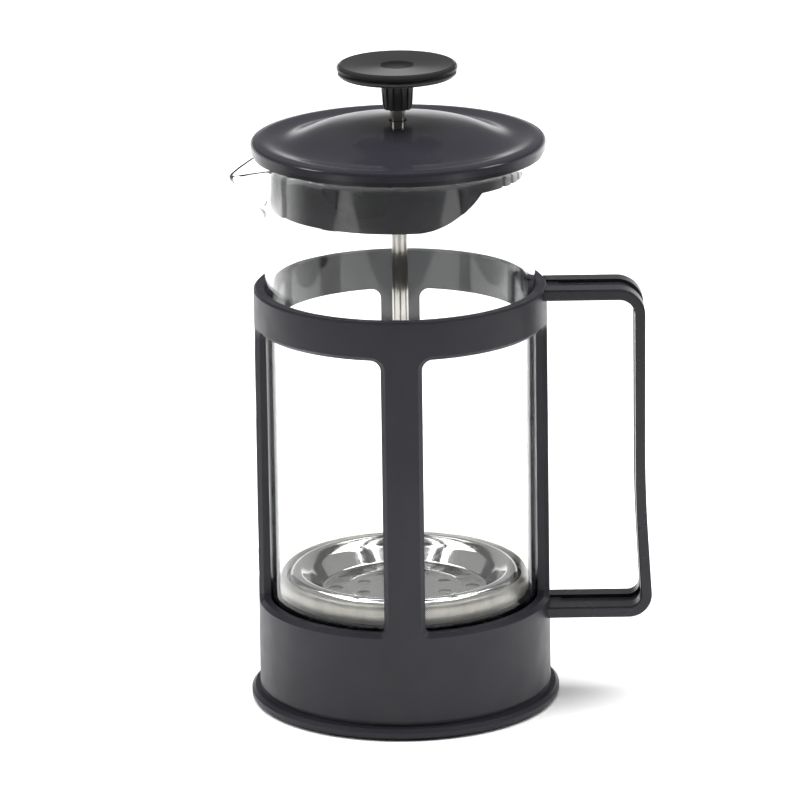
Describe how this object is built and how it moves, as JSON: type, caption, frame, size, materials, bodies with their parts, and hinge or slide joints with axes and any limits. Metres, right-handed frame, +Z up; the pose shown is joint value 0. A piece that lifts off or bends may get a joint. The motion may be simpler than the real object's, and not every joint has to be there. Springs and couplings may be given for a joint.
{
  "type": "french press",
  "caption": "Small plunger coffee press: glass beaker with a drawn spout in a strapped plastic frame with loop handle, domed lid, and a steel rod carrying a mesh filter.",
  "frame": {"origin": "centre of the foot's underside, on the beaker's axis", "axes": "+Z up along the rod, +X towards the handle, -X towards the pouring spout"},
  "size_m": [0.1088, 0.0812, 0.1704],
  "materials": {
    "frame_plastic": "satin black moulding with a faint blue cast",
    "lid_plastic": "glossy black moulding",
    "beaker_glass": "clear borosilicate glass",
    "polished_steel": "polished stainless steel",
    "woven_steel": "fine woven stainless wire"
  },
  "bodies": {
    "frame": {"frame": "frame_plastic", "base_cap": "frame_plastic", "handle": "frame_plastic"},
    "beaker": {"beaker": "beaker_glass"},
    "rod_guide": {"rod_guide": "lid_plastic"},
    "lid": {"lid_cover": "lid_plastic", "lid_insert": "lid_plastic"},
    "plunger": {"plunger_rod": "polished_steel", "knob_cap": "lid_plastic", "knob_body": "lid_plastic", "rod_collar": "polished_steel", "filter_plate": "polished_steel", "edge_spring": "polished_steel", "mesh_screen": "woven_steel", "cross_plate": "polished_steel", "hub_nut": "polished_steel"}
  },
  "joints": [
    {"name": "beaker_lift", "type": "slide", "parent": "frame", "child": "beaker", "axis": [0, 0, 1], "range_m": [0, 0.15]},
    {"name": "lid_lift", "type": "slide", "parent": "beaker", "child": "rod_guide", "axis": [0, 0, 1], "range_m": [0, 0.16]},
    {"name": "lid_turn", "type": "hinge", "parent": "rod_guide", "child": "lid", "pos_m": [0, 0, 0.146], "axis": [0, 0, 1], "continuous": true},
    {"name": "plunge", "type": "slide", "parent": "rod_guide", "child": "plunger", "axis": [0, 0, 1], "range_m": [-0.0028, 0.097]}
  ]
}
